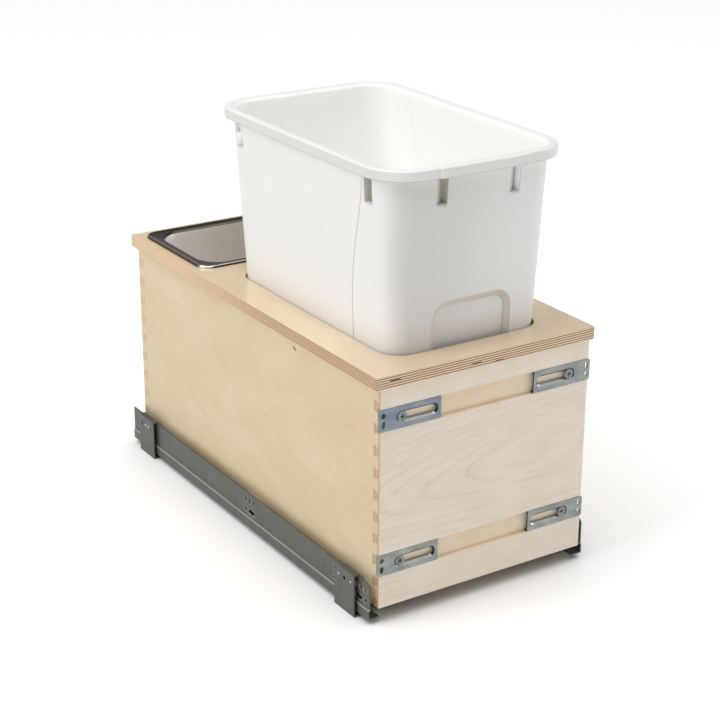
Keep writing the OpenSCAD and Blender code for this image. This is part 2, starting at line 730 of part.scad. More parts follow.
side(false);  // side_left
side(true);  // side_right
front_panel();
back_panel();
bottom_panel();
deck();
front_strip();
cross_rail();
deck_screws();
bin();
pan();
door_bracket(false, plate_zs[1]);  // door_bracket_upper_left
door_bracket(true, plate_zs[1]);  // door_bracket_upper_right
door_bracket(false, plate_zs[0]);  // door_bracket_lower_left
door_bracket(true, plate_zs[0]);  // door_bracket_lower_right
bracket_screws();
cabinet_rail(false);  // cabinet_rail_left
cabinet_rail(true);  // cabinet_rail_right
floor_bracket(false, foot_front, 1);  // floor_bracket_front_left
floor_bracket(true, foot_front, 1);  // floor_bracket_front_right
floor_bracket(false, foot_rear_y, 2);  // floor_bracket_rear_left
floor_bracket(true, foot_rear_y, 2);  // floor_bracket_rear_right
rail_bumpers();
mid_rail(false);  // mid_rail_left
mid_rail(true);  // mid_rail_right
drawer_rail(false);  // drawer_rail_left
drawer_rail(true);  // drawer_rail_right
cage(false, lower_roller_z);  // lower_cage_left
cage(true, lower_roller_z);  // lower_cage_right
rollers(lower_roller_z);  // lower_rollers
cage(false, upper_roller_z);  // upper_cage_left
cage(true, upper_roller_z);  // upper_cage_right
rollers(upper_roller_z);  // upper_rollers
lock_housing(false);  // lock_housing_left
lock_housing(true);  // lock_housing_right
lock_screws();
lock_pins();
lock_lever(false);  // lock_lever_left
lock_lever(true);  // lock_lever_right
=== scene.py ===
import math

import bmesh
import bpy
from mathutils import Matrix, Vector


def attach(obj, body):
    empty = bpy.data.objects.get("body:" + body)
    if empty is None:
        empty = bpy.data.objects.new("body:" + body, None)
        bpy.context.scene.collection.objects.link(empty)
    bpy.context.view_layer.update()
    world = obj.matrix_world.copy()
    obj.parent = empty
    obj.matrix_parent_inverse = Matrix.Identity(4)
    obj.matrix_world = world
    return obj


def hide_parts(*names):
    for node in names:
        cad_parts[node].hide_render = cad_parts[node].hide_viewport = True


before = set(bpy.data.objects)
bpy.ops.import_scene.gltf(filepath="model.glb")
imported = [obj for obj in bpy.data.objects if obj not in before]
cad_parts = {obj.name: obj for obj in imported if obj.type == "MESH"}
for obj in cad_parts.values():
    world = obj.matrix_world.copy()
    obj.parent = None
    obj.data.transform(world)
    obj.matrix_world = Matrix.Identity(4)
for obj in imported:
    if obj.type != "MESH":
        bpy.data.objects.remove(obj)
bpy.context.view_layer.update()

# Lengths are in millimetres from the box's lower front edge. These two put them into the shared frame.
boxFront = -287
boxFoot = 19.9


def placed(x, y, z):
    return Vector((x, y + boxFront, z + boxFoot)) / 1000


def tint(red, green, blue):
    channels = [c / 255 for c in (red, green, blue)]
    return tuple(c / 12.92 if c <= 0.04045 else ((c + 0.055) / 1.055) ** 2.4 for c in channels) + (1,)


def pair(name):
    return name + "_left", name + "_right"


class Value:  # a socket that takes part in sums: each operator adds its Math node
    def __init__(self, look, socket):
        self.look = look
        self.socket = socket

    def __add__(self, other):
        return self.look.math("ADD", self, other)

    def __radd__(self, other):
        return self.look.math("ADD", other, self)

    def __sub__(self, other):
        return self.look.math("SUBTRACT", self, other)

    def __rsub__(self, other):
        return self.look.math("SUBTRACT", other, self)

    def __mul__(self, other):
        return self.look.math("MULTIPLY", self, other)

    def __rmul__(self, other):
        return self.look.math("MULTIPLY", other, self)

    def __lt__(self, other):
        return self.look.math("LESS_THAN", self, other)

    def __gt__(self, other):
        return self.look.math("GREATER_THAN", self, other)

    def __abs__(self):
        return self.look.math("ABSOLUTE", self)


class Look:  # a material, with its place on the box in millimetres and its normal ready to use
    def __init__(self, name, **fixed):
        self.material = bpy.data.materials.new(name)
        self.material.use_nodes = True
        self.tree = self.material.node_tree
        self.shader = self.tree.nodes["Principled BSDF"]
        for key, value in fixed.items():
            self.shader.inputs[key.replace("_", " ")].default_value = value
        where = self.tree.nodes.new("ShaderNodeTexCoord")
        x, y, z = self.split(where.outputs["Object"])
        self.x, self.y, self.z = x * 1000, y * 1000 - boxFront, z * 1000 - boxFoot
        self.nx, self.ny, self.nz = self.split(where.outputs["Normal"])

    def feed(self, target, value):
        if isinstance(value, Value):
            self.tree.links.new(value.socket, target)
        else:
            target.default_value = value

    def node(self, kind, inputs, output=0, **settings):
        made = self.tree.nodes.new(kind)
        for key, value in settings.items():
            setattr(made, key, value)
        for key, value in inputs.items():
            self.feed(made.inputs[key], value)
        return Value(self, made.outputs[output])

    def math(self, operation, *inputs):
        return self.node("ShaderNodeMath", dict(enumerate(inputs)), operation=operation)

    def split(self, socket):
        made = self.tree.nodes.new("ShaderNodeSeparateXYZ")
        self.tree.links.new(socket, made.inputs[0])
        return [Value(self, out) for out in made.outputs]

    def noise(self, x, y, z, detail=2.0, roughness=0.5):
        place = self.node("ShaderNodeCombineXYZ", {0: x, 1: y, 2: z})
        inputs = {"Vector": place, "Scale": 1.0, "Detail": detail, "Roughness": roughness}
        return self.node("ShaderNodeTexNoise", inputs)

    def ramp(self, value, low, high, start=0.0, end=1.0):
        inputs = {0: value, 1: low, 2: high, 3: start, 4: end}
        return self.node("ShaderNodeMapRange", inputs, interpolation_type="SMOOTHSTEP")

    def mix(self, share, first, second):
        return self.node("ShaderNodeMix", {0: share, 6: first, 7: second}, 2, data_type="RGBA")

    def most(self, first, *others):
        for other in others:
            first = self.math("MAXIMUM", first, other)
        return first

    def distance(self, across, up):
        return self.math("SQRT", across * across + up * up)

    def near(self, value, centre, reach, soft):
        return self.ramp(abs(value - centre), reach + soft, reach)

    def set(self, name, value):
        self.feed(self.shader.inputs[name], value)

    def bump(self, height, distance):
        self.set("Normal", self.node("ShaderNodeBump", {"Height": height, "Distance": distance}))

    def cover(self, *names):
        for name in names:
            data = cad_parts[name].data
            data.materials.clear()
            data.materials.append(self.material)


# Wood: a cloudy figure, broad streaks and fine fibre that run along the board.
def woodLook(name, base, warm, pale, along, **fixed):
    look = Look(name, **{"Roughness": 0.42, "Coat_Weight": 0.25, "Coat_Roughness": 0.3, **fixed})
    across, up, depth = {
        "x": (look.x, look.z, look.y),
        "y": (look.y, look.z, look.x),
        "flat": (look.y, look.x, look.z),
    }[along]
    cloud = look.noise(across * 0.009 + up * 0.006, up * 0.021 - across * 0.004, depth * 0.01, 4.0, 0.55)
    streak = look.noise(across * 0.02 + up * 0.012, up * 0.06 - across * 0.012, depth * 0.02 + 7, 4.0, 0.55)
    fibre = look.noise(across * 0.045, up * 1.1, depth * 1.1, 3.0, 0.6)
    color = look.mix(look.ramp(cloud, 0.36, 0.7), base, pale)
    color = look.mix(look.ramp(streak, 0.5, 0.74) * 0.4, color, warm)
    color = look.mix(look.ramp(fibre, 0.35, 0.75) * 0.14, color, warm)
    return look, color


# Side, back and hidden boards

birch = {"base": tint(209, 187, 150), "warm": tint(204, 171, 126), "pale": tint(214, 195, 163)}
endGrain = {
    "tan": tint(178, 146, 106), "pale": tint(196, 165, 126),
    "back": tint(205, 171, 127), "skin": tint(190, 155, 114),
}
flaw = {"y": 172, "z": 243, "color": tint(60, 38, 20)}  # a short dark fleck that lies aslant


def sideBoards():
    look, color = woodLook("birchSide", along="y", **birch)
    fibres = look.noise(look.x * 0.9, look.y * 0.1, look.z * 0.15)
    tailColor = look.mix(look.ramp(fibres, 0.4, 0.6), endGrain["tan"], endGrain["pale"])
    color = look.mix(abs(look.ny) > 0.5, color, tailColor)
    along = look.near(look.y + look.z * 0.9, flaw["y"] + flaw["z"] * 0.9, 3.2, 1.4)
    across = look.near(look.z - look.y * 0.45, flaw["z"] - flaw["y"] * 0.45, 0.9, 0.8)
    look.set("Base Color", look.mix(along * across, color, flaw["color"]))
    look.cover(*pair("side"))


def backPanel():
    look, color = woodLook("birchBack", along="x", **birch)
    look.set("Base Color", look.mix(abs(look.nx) > 0.5, color, endGrain["back"]))
    look.cover("back_panel")


def hiddenBoard(name, along, *nodes):
    look, color = woodLook(name, along=along, **birch)
    look.set("Base Color", color)
    look.cover(*nodes)


sideBoards()
backPanel()
hiddenBoard("birchStrip", "x", "front_strip", "cross_rail")
hiddenBoard("birchBottom", "flat", "bottom_panel")


# Front panel: maple veneer with nested arches, warm wood in the two grooves, and the pins' ends at the sides

grooveWood = {"base": tint(232, 212, 181), "warm": tint(219, 188, 144), "pale": tint(236, 220, 195)}
maple = {
    "base": tint(234, 222, 206), "warm": tint(229, 215, 196),
    "line": tint(203, 174, 135), "fleck": tint(203, 182, 152),
    # arris is a painted highlight along the right and bottom edges
    "grain": tint(190, 170, 142), "arrisHighlight": tint(236, 224, 204), "grooveLight": tint(250, 232, 200),
    "archX": 165, "archZ": 132, "archSlope": 0.08, "archFlat": 0.15,  # the point that the arches nest around
    "ringPitch": 0.128,  # rings to the millimetre
    "skin": 2.0,         # the veneered face lies in front of this depth
    "grooveReach": 61,   # the grooves get painted light behind the brackets, past this distance from the middle
}


def archLines(look):
    sway = look.noise(look.x * 0.011, look.y * 0.01, look.z * 0.022 + 3, 3.0, 0.5)
    ripple = look.noise(look.x * 0.03, look.y * 0.01, look.z * 0.12, 2.0, 0.5)
    patchy = look.noise(look.x * 0.012 + 5, look.y * 0.01, look.z * 0.018)
    across = (look.x - maple["archX"]) * maple["archFlat"]
    up = look.z - maple["archZ"] - look.x * maple["archSlope"]
    ring = look.distance(across, up) + sway * 15
    turn = look.math("FRACT", ring * maple["ringPitch"] + ripple * 0.5)
    line = look.ramp(turn, 0.66, 0.92) * look.ramp(turn, 1.0, 0.94)  # fades in slowly and ends sharply
    return line * look.ramp(patchy, 0.36, 0.62, 0.25, 1.0)


def mapleFace(look):
    cloud = look.noise(look.x * 0.02, look.y * 0.02, look.z * 0.05 + 9)
    fleck = look.noise(look.x * 0.16, look.y, look.z * 1.5, 2.0, 0.7)
    grain = look.noise(look.x * 0.7, look.y, look.z * 0.9, 2.0, 0.7)
    # Painted highlight along the right and bottom edges of the face.
    arrisHighlight = look.most(look.ramp(look.x, 135.6, 136.3), look.ramp(look.z, 1.9, 1.2))
    color = look.mix(look.ramp(cloud, 0.35, 0.7), maple["base"], maple["warm"])
    color = look.mix(archLines(look) * 0.26, color, maple["line"])
    color = look.mix(look.ramp(fleck, 0.46, 0.8) * 0.3, color, maple["fleck"])
    color = look.mix(look.ramp(grain, 0.45, 0.75) * 0.16, color, maple["grain"])
    return look.mix(arrisHighlight * 0.6, color, maple["arrisHighlight"])


def pinEnds(look):
    layers = look.math("FRACT", look.y * 0.21 + 0.1)
    color = look.mix(look.near(layers, 0.5, 0.17, 0.05), endGrain["tan"], endGrain["pale"])
    return look.mix(look.y < 3.0, color, endGrain["skin"])


def frontPanel():
    look, grooveColor = woodLook("mapleFront", along="x", **grooveWood)
    # Painted light on the grooves behind the brackets.
    grooveColor = look.mix((abs(look.x) > maple["grooveReach"]) * 0.8, grooveColor, maple["grooveLight"])
    faceColor = look.mix(look.y < maple["skin"], grooveColor, mapleFace(look))
    look.set("Base Color", look.mix(abs(look.nx) > 0.5, faceColor, pinEnds(look)))
    look.cover("front_panel")


frontPanel()


# Deck: a glossy veneer on eleven plies, with gaps in some of them

deckWood = {"base": tint(227, 203, 166), "warm": tint(216, 183, 138), "pale": tint(233, 214, 182)}
deck = {
    "foot": 254, "depth": 14.5, "plies": 11,
    "brown": tint(136, 92, 58), "cream": tint(236, 216, 184), "side": tint(214, 184, 142),
    "void": tint(48, 34, 24),
    "voids": ((-17, 259.2, 5), (12.6, 256.4, 4), (-120, 262.4, 5)),  # x, z, half length
    "front": tint(205, 184, 158), "rear": tint(216, 182, 134),  # the veneer greys in front and warms behind
}


def plyEdge(look):
    turn = look.math("FRACT", (look.z - deck["foot"]) * (deck["plies"] / 2 / deck["depth"]))
    turn = turn + look.noise(look.x * 0.03, look.y * 0.03, look.z * 0.3) * 0.12
    brown = look.ramp(turn, 0.42, 0.5) * look.ramp(turn, 1.07, 1.0)
    onSide = abs(look.nx) > 0.5
    strength = 1 - onSide * (1 - look.ramp(look.y, 200, 470, 1.0, 0.08))  # the plies fade along the sides
    fuzz = look.ramp(look.noise(look.x * 0.5, look.y * 0.5, look.z * 2.5, 3.0, 0.7), 0.35, 0.7)
    light = look.mix(onSide, deck["cream"], deck["side"])
    color = look.mix(brown * strength * (0.82 + fuzz * 0.18), light, deck["brown"])
    marks = [
        look.near(look.x, x, half, 3.0) * look.near(look.z, z, 0.42, 0.3)
        for x, z, half in deck["voids"]
    ]
    return look.mix(look.most(*marks) * (look.y < 2), color, deck["void"])


def deckBoard():
    look, color = woodLook("birchDeck", along="flat", Roughness=0.3, Coat_Roughness=0.12, **deckWood)
    color = look.mix(look.ramp(look.y, 120, 20) * 0.5, color, deck["front"])
    color = look.mix(look.ramp(look.y, 300, 500) * 0.5, color, deck["rear"])
    level = abs(look.nz) > 0.5
    look.set("Base Color", look.mix(level, plyEdge(look), color))
    look.set("Coat Weight", level * 0.8)
    look.cover("deck")


deckBoard()
print("boards done")


# Galvanised rails and floor brackets

floorBrackets = pair("floor_bracket_front") + pair("floor_bracket_rear")
sheet = {
    # The bend, rim and dimple tints are painted highlights; dark and light are the zinc's own patches.
    "dark": tint(99, 102, 96), "light": tint(107, 110, 103), "bendHighlight": tint(190, 193, 189),
    "rim": tint(196, 198, 192), "dimpleHighlight": tint(236, 240, 236),
    "bendZ": -2.2,
    "railSide": 148.5, "bracketSide": 149,  # rails lie within the first and bracket faces past the second
    "upperRow": 18.4, "lowerRow": 6, "dimpleRow": 19.8,
    "upperHoles": (13, 22, 31, 275, 266, 257, 75.5),
    "lowerHoles": (13, 22.5, 31, 275, 265.5, 257, 75.5),
    "dimples": (35.5, 59.5, 532, 524.5),
}


def spots(look, centres, reach, soft):
    away = [look.distance(look.y - y, look.z - z) for y, z in centres]
    return look.most(*(look.ramp(value, reach + soft, reach) for value in away))


def metalLook(name, dark, light, stretch, **fixed):
    look = Look(name, **{"Metallic": 1.0, "Roughness": 0.4, **fixed})
    patch = look.noise(look.x * stretch[0], look.y * stretch[1], look.z * stretch[2], 3.0, 0.55)
    return look, look.mix(look.ramp(patch, 0.3, 0.7), dark, light)


def sheetMetal():
    fixed = {"Metallic": 0.7, "Roughness": 0.48}
    look, color = metalLook("galvanised", sheet["dark"], sheet["light"], (0.12, 0.12, 0.03), **fixed)
    onRail = abs(look.x) < sheet["railSide"]
    # Painted highlight along the bend of the rails.
    bendHighlight = look.near(look.z, sheet["bendZ"], 0.7, 0.6) * (look.nz > -0.5) * onRail
    holes = [(y, sheet["upperRow"]) for y in sheet["upperHoles"]]
    holes += [(y, sheet["lowerRow"]) for y in sheet["lowerHoles"]]
    # Painted highlights round the holes in the rails.
    rimHighlights = spots(look, holes, 3.6, 0.7) * onRail
    # Painted highlights on the dimples.
    dimples = spots(look, [(y, sheet["dimpleRow"]) for y in sheet["dimples"]], 1.0, 0.6)
    dimples = dimples * (abs(look.x) > sheet["bracketSide"])
    color = look.mix(bendHighlight * 0.7, color, sheet["bendHighlight"])
    color = look.mix(rimHighlights * 0.45, color, sheet["rim"])
    look.set("Base Color", look.mix(dimples, color, sheet["dimpleHighlight"]))
    look.cover(*pair("cabinet_rail"), *floorBrackets, *pair("mid_rail"), *pair("drawer_rail"))


sheetMetal()


# Door brackets: the upper left one has a bluer plating

zinc = {
    "dark": tint(128, 135, 133), "light": tint(154, 160, 157),
    "blueDark": tint(112, 126, 143), "blueLight": tint(136, 147, 153),
    # lit is a painted highlight on the tops; under and end are painted shade on the undersides and the inner
    # ends.
    "lit": tint(232, 235, 234), "under": tint(70, 74, 74), "end": tint(52, 52, 48),
    "endReach": 122,  # the inner ends lie within this distance from the middle
}


def doorBracket(name, dark, light, *nodes):
    look, color = metalLook(name, dark, light, (0.04, 0.05, 0.07), Roughness=0.34)
    # Painted shade on the inner ends and undersides, painted highlight on the tops.
    innerEndShade = (look.nx < -0.35) * (look.y > -0.3) * (abs(look.x) < zinc["endReach"])
    color = look.mix((look.nz > 0.4) * 0.75, color, zinc["lit"])
    color = look.mix((look.nz < -0.4) * 0.5, color, zinc["under"])
    look.set("Base Color", look.mix(innerEndShade, color, zinc["end"]))
    look.cover(*nodes)


doorBracket("zinc", zinc["dark"], zinc["light"], "door_bracket_upper_right", *pair("door_bracket_lower"))
doorBracket("blueZinc", zinc["blueDark"], zinc["blueLight"], "door_bracket_upper_left")


# Screws, rollers and the small plastic and rubber parts

smallParts = {  # a dark and a light tint for each
    "screw": (tint(108, 116, 117), tint(138, 145, 144)),
    "roller": (tint(150, 150, 152), tint(190, 190, 192)),
    "cage": (tint(214, 210, 196), tint(222, 218, 206)),
    "bumper": (tint(34, 34, 34), tint(44, 44, 43)),
    "lockBlack": (tint(28, 28, 29), tint(36, 36, 37)),
    "leverOrange": (tint(214, 112, 36), tint(222, 122, 44)),
}
# Painted shade for the recess and sides of the screw heads.
screwRecessShade = tint(44, 48, 46)
evenly = (0.2, 0.2, 0.2)


def screws():
    look, color = metalLook("screw", *smallParts["screw"], evenly, Roughness=0.34)
    # Painted shade on the heads' recessed cross and sides.
    recessShade = (look.y < 4) * ((look.y > -0.1) + (look.ny > -0.5) * 0.8)  # only the heads on the front panel
    look.set("Base Color", look.mix(recessShade, color, screwRecessShade))
    look.cover("deck_screws", "bracket_screws", "lock_screws", "lock_pins")


def rollers():
    look, color = metalLook("roller", *smallParts["roller"], evenly, Roughness=0.22)
    look.set("Base Color", color)
    look.cover("lower_rollers", "upper_rollers")


def plainParts(name, grain, roughness, *nodes):
    look = Look(name, Roughness=roughness)
    patch = look.noise(look.x * grain, look.y * grain, look.z * grain)
    look.set("Base Color", look.mix(look.ramp(patch, 0.35, 0.65), *smallParts[name]))
    look.cover(*nodes)


screws()
rollers()
plainParts("cage", 0.2, 0.5, *pair("lower_cage"), *pair("upper_cage"))
plainParts("bumper", 0.6, 0.8, "rail_bumpers")
plainParts("lockBlack", 0.5, 0.5, *pair("lock_housing"))
plainParts("leverOrange", 0.3, 0.45, *pair("lock_lever"))
print("metal and small parts done")


# Softened arrises on the boards and the sheet metal

def rounded(names, width, segments=2):
    for name in names:
        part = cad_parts[name]
        weld = part.modifiers.new("weld", "WELD")
        weld.merge_threshold = 0.00002
        bevel = part.modifiers.new("bevel", "BEVEL")
        bevel.width = width / 1000
        bevel.segments = segments
        bevel.limit_method = "ANGLE"
        bevel.angle_limit = math.radians(40)
        bevel.use_clamp_overlap = True
        part.modifiers.new("normals", "WEIGHTED_NORMAL")


rounded(pair("side") + ("front_panel", "back_panel"), 0.3)
rounded(("deck",), 0.7, 3)
rounded(pair("door_bracket_upper") + pair("door_bracket_lower") + pair("cabinet_rail") + floorBrackets, 0.35)


# Outlines for the bin and the pan: rounded rectangles with bulging sides. A stop on one is (leg, share),
# anticlockwise from the front right corner: even legs are the corners and odd ones the straight runs.

def outlinePoint(stop, half, front, rear, radius, bulge=0.0, bow=0.0):
    leg, share = stop
    across, near, far = half - radius, front + radius, rear - radius
    corners = ((across, near), (across, far), (-across, far), (-across, near))
    centre, after = corners[leg // 2], corners[(leg // 2 + 1) % 4]
    onCorner = leg % 2 == 0
    angle = math.radians(90 * (leg // 2) - 90 + (90 * share if onCorner else 90))
    outward = (math.cos(angle), math.sin(angle))
    x, y = centre[0] + radius * outward[0], centre[1] + radius * outward[1]
    if not onCorner:
        x += (after[0] - centre[0]) * share
        y += (after[1] - centre[1]) * share
    middle, reach = (front + rear) / 2, (rear - front) / 2
    u, v = x / half, (y - middle) / reach
    x += bulge * u * (1 - v * v)
    if v < 0:
        y += bow * v * (1 - u * u)
    return x, y, outward


# Draws a disc out along the rows, each of which turns a stop into a point, and closes the far end.
def swept(name, stops, rows):
    made = bmesh.new()
    count = len(stops)
    bmesh.ops.create_circle(made, cap_ends=True, segments=count, radius=1)
    loop = list(made.verts)
    for index, row in enumerate(rows):
        if index:
            drawn = set(bmesh.ops.extrude_edge_only(made, edges=rimEdges(made, loop))["geom"])
            loop = [next(e.other_vert(v) for e in v.link_edges if e.other_vert(v) in drawn) for v in loop]
        for vert, stop in zip(loop, stops):
            vert.co = placed(*row(stop))
    bmesh.ops.contextual_create(made, geom=rimEdges(made, loop))
    bmesh.ops.recalc_face_normals(made, faces=made.faces)
    for face in made.faces:
        face.smooth = True
    mesh = bpy.data.meshes.new(name)
    made.to_mesh(mesh)
    made.free()
    piece = bpy.data.objects.new(name, mesh)
    bpy.context.scene.collection.objects.link(piece)
    return piece


def rimEdges(made, loop):
    return [made.edges.get((loop[k - 1], vert)) for k, vert in enumerate(loop)]


def between(marks, count, low, high):
    even = {low + (high - low) * k / count for k in range(count + 1)}
    return sorted({mark for mark in marks if low < mark < high} | even)


def eased(share):
    share = max(0.0, min(1.0, share))
    return share * share * (3 - 2 * share)


# Bin

binSize = {
    "floor": 19.0, "body": 442.0, "half": 108.0, "front": 30.0, "rear": 378.5, "corner": 34.0,
    "sideTaper": 0.0423, "frontTaper": 0.045, "rearTaper": 0.079, "cornerTaper": 0.03, "bulge": 1.5, "bow": 4,
}
rim = {  # it stands proud along a run in front
    "seat": 461.0, "middle": 0.5, "proud": 1.9, "proudHalf": 57.5, "proudSlope": 2.5,
}
pocket = {
    "depth": 7.5, "wide": 14.0, "foot": 430.0, "slope": 2.4, "step": 1.2, "lap": 3.0,
    "frontEnds": (-39.6, 53.6), "sideEnds": (78.5, 349.0),
}
arch = {"left": -51.8, "right": 53.0, "top": 322.0, "radius": 22.0, "slope": 9.0, "depth": 4.3}


def binPoint(stop, height, grow):
    drop = binSize["body"] - (height - binSize["floor"])
    half = binSize["half"] - drop * binSize["sideTaper"] + grow
    front = binSize["front"] + drop * binSize["frontTaper"] - grow
    rear = binSize["rear"] - drop * binSize["rearTaper"] + grow
    corner = max(2.0, binSize["corner"] - drop * binSize["cornerTaper"] + grow)
    bow = binSize["bow"] * (1 - 0.5 * drop / binSize["body"])
    return outlinePoint(stop, half, front, rear, corner, binSize["bulge"], bow)


# A pocket runs from nothing at its start to its full depth near its end. Behind it the inner wall stands in.
def pocketWedge(along):
    if along <= -pocket["wide"] or along >= 0:
        return 0.0
    rise = (along + pocket["wide"]) / (pocket["wide"] - pocket["slope"])
    return pocket["depth"] * min(1.0, rise, -along / pocket["step"])


def pocketBack(along):
    rise, fall = (along + pocket["wide"]) / pocket["lap"] + 1, 1 - along / pocket["lap"]
    return pocket["depth"] * max(0.0, min(1.0, rise, fall))


def pocketDepth(leg, x, y, profile):
    if leg == 7:
        return max(profile(x - end) for end in pocket["frontEnds"])
    if leg == 5 or leg == 4 and y < 360:
        return max(profile(y - end) for end in pocket["sideEnds"])
    return 0.0


def archDepth(x, height):
    middle, reach = (arch["left"] + arch["right"]) / 2, (arch["right"] - arch["left"]) / 2
    aside, over = abs(x - middle) - reach + arch["radius"], height - arch["top"] + arch["radius"]
    outside = math.hypot(max(aside, 0), max(over, 0)) + min(max(aside, over), 0) - arch["radius"]
    return arch["depth"] * eased(-outside / arch["slope"])


# Stops crowd together where the pockets and the arch need sharp edges.
def binStops():
    run = binSize["half"] - binSize["corner"]
    near, far = binSize["front"] + binSize["corner"], binSize["rear"] - binSize["corner"]
    edges = (-14.05, -13.95, -2.4, -1.2, 0.05)
    rearPocket = {0.858, 0.914, 0.9155, 0.938, 0.961}  # the rear side pocket reaches into the corner
    stops = []
    for leg in range(8):
        if leg % 2 == 0:
            shares = {k / 14 for k in range(14)} | (rearPocket if leg == 4 else set())
        elif leg == 5:
            marks = [end + offset for end in pocket["sideEnds"] for offset in (-17, *edges, 3)]
            shares = {(far - y) / (far - near) for y in between(marks, 28, near, far) if y > near}
        elif leg == 7:
            marks = [end + offset for end in pocket["frontEnds"] for offset in edges]
            marks += [side * x for side in (-1, 1) for x in (55, 56, 57, 58)]
            marks += [k * 1.3 - 57.2 for k in range(89)]
            shares = {(x + run) / (2 * run) for x in between(marks, 12, -run, run) if x < run}
        else:
            shares = {k / 24 for k in range(24)}
        stops += [(leg, share) for share in sorted(shares)]
    return stops


def outerWall(height, grow=0.0):
    def row(stop):
        x, y, outward = binPoint(stop, height, grow)
        inward = pocketDepth(stop[0], x, y, pocketWedge) if height > pocket["foot"] else 0.0
        if stop[0] == 7:
            inward += archDepth(x, height)
        return x - outward[0] * inward, y - outward[1] * inward, height
    return row


def rimRing(height, grow):
    def row(stop):
        x, y, outward = binPoint(stop, rim["seat"], grow)
        proud = 0.0
        if stop[0] == 7 and grow > 3:
            proud = rim["proud"] * eased((rim["proudHalf"] - abs(x - rim["middle"])) / rim["proudSlope"])
        return x + outward[0] * proud, y + outward[1] * proud, height
    return row


def innerWall(height, grow):
    def row(stop):
        x, y, outward = binPoint(stop, height, grow)
        inward = 0.0
        if height > pocket["foot"] - 3:
            inward = pocketDepth(stop[0], x, y, pocketBack) * max(0.0, min(1.0, (472 - height) / 4))
        if stop[0] == 7:
            inward = max(inward, archDepth(x, height))
        return x - outward[0] * inward, y - outward[1] * inward, height
    return row


# Each pair below is (height, growth of the outline).
footProfile = ((19, -6), (19.4, -3.4), (20.6, -1.4), (22.6, -0.3), (25, 0))
archHeights = [262 + k * 1.3 for k in range(50)]
wallHeights = [28, 34, 60, 100, 150, 200, 235, *archHeights, 345, 370, 395, 415, 426]
wallHeights += [429.9, 430.1, 436, 445, 455, 462.5]
rimProfile = (
    (462.5, 8.6), (461.3, 9.0), (461.0, 9.6), (461.3, 10.1), (462.2, 10.35), (464.5, 10.45),
    (470.2, 10.5), (471.5, 10.25), (472.4, 9.6), (472.9, 8.7), (473, 7.4), (472.95, 3.6),
    (472.6, 1.8), (471.8, 0.3), (470.4, -0.9), (468.4, -1.8),
)
innerHeights = (452, 440, 430, 427.2, 426.8, 410, 380, 340, 326, 318, 308, 290, 250, 200, 150, 100, 50, 30)
innerProfile = [(465, -2.5), (460, -2.9), *((height, -3) for height in innerHeights)]
innerProfile += [(25, -4.5), (22.6, -7.5), (22, -12)]

binRows = [outerWall(*step) for step in footProfile] + [outerWall(height) for height in wallHeights]
binRows += [rimRing(*step) for step in rimProfile] + [innerWall(*step) for step in innerProfile]
binShell = swept("binShell", binStops(), binRows)
binShell.modifiers.new("normals", "WEIGHTED_NORMAL")
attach(binShell, "bin")
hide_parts("bin")

plastic = {
    # front, lip, arch and pocket are painted shade, inner, foot and glow painted light; low, high and seam
    # are the plastic's own tones.
    "low": tint(228, 227, 225), "high": tint(231, 230, 228), "inner": tint(252, 252, 250),
    "front": tint(206, 204, 200), "lipShade": tint(206, 204, 199), "arch": tint(190, 181, 169),
    "pocket": tint(166, 157, 143), "foot": tint(247, 246, 243), "seam": tint(160, 155, 144),
    "paintedGlow": tint(255, 255, 252),
    # where the shade of a pocket starts, where it is full and where it ends
    "frontPockets": ((-54, -42, -39.4), (39.2, 51, 53.8)),
    "sidePockets": ((64.1, 76, 78.7), (334.6, 347, 349.2)),
}


# The mould's parting lines: one curves down the left side, the other is inside, on the right wall.
def seamLines(look):
    course = look.ramp(look.z, 268, 461)
    outerY = 108.9 - course * course * 25.5
    innerY = 289 + (look.z - 389) * 0.29
    outer = look.near(look.y, outerY, 0.4, 0.5) * (look.x < -60) * (look.z < rim["seat"])
    inner = look.near(look.y, innerY, 0.2, 0.35) * (look.x > 60) * (look.nx < -0.5)
    return look.most(outer, inner * 0.5)


def insideMask(look):
    facing = look.x * look.nx + (look.y - 204) * look.ny * 0.6
    onFloor = (look.nz > 0.5) * (look.z < 60)
    return look.most(facing < 0, onFloor) * (look.z < 471.5)


# Painted shade on the pockets' sloping faces.
def pocketShadeMask(look):
    def notches(along, runs):
        first, second = (look.ramp(along, start, full) * (along < end) for start, full, end in runs)
        return first + second

    atFront = (look.y < 45) * notches(look.x, plastic["frontPockets"])
    atSide = (look.x < -90) * notches(look.y, plastic["sidePockets"])
    return look.near(look.z, 446, 15.6, 0.6) * (atFront + atSide)


# Painted shade on the sloping band round the arch recess, stronger towards the right.
def archSlopeShade(look):
    middle, reach = (arch["left"] + arch["right"]) / 2, (arch["right"] - arch["left"]) / 2
    aside = abs(look.x - middle) - (reach - arch["radius"])
    over = look.z - (arch["top"] - arch["radius"])
    beyond = look.distance(look.most(aside, 0.0), look.most(over, 0.0))
    outside = beyond + look.math("MINIMUM", look.most(aside, over), 0.0) - arch["radius"]
    slope = look.ramp(outside, -9, -7.5) * look.ramp(outside, 0.4, -0.6)
    return slope * (look.y < 70) * (look.ny < -0.3) * look.ramp(look.x, -40, 40, 0.3, 0.7)


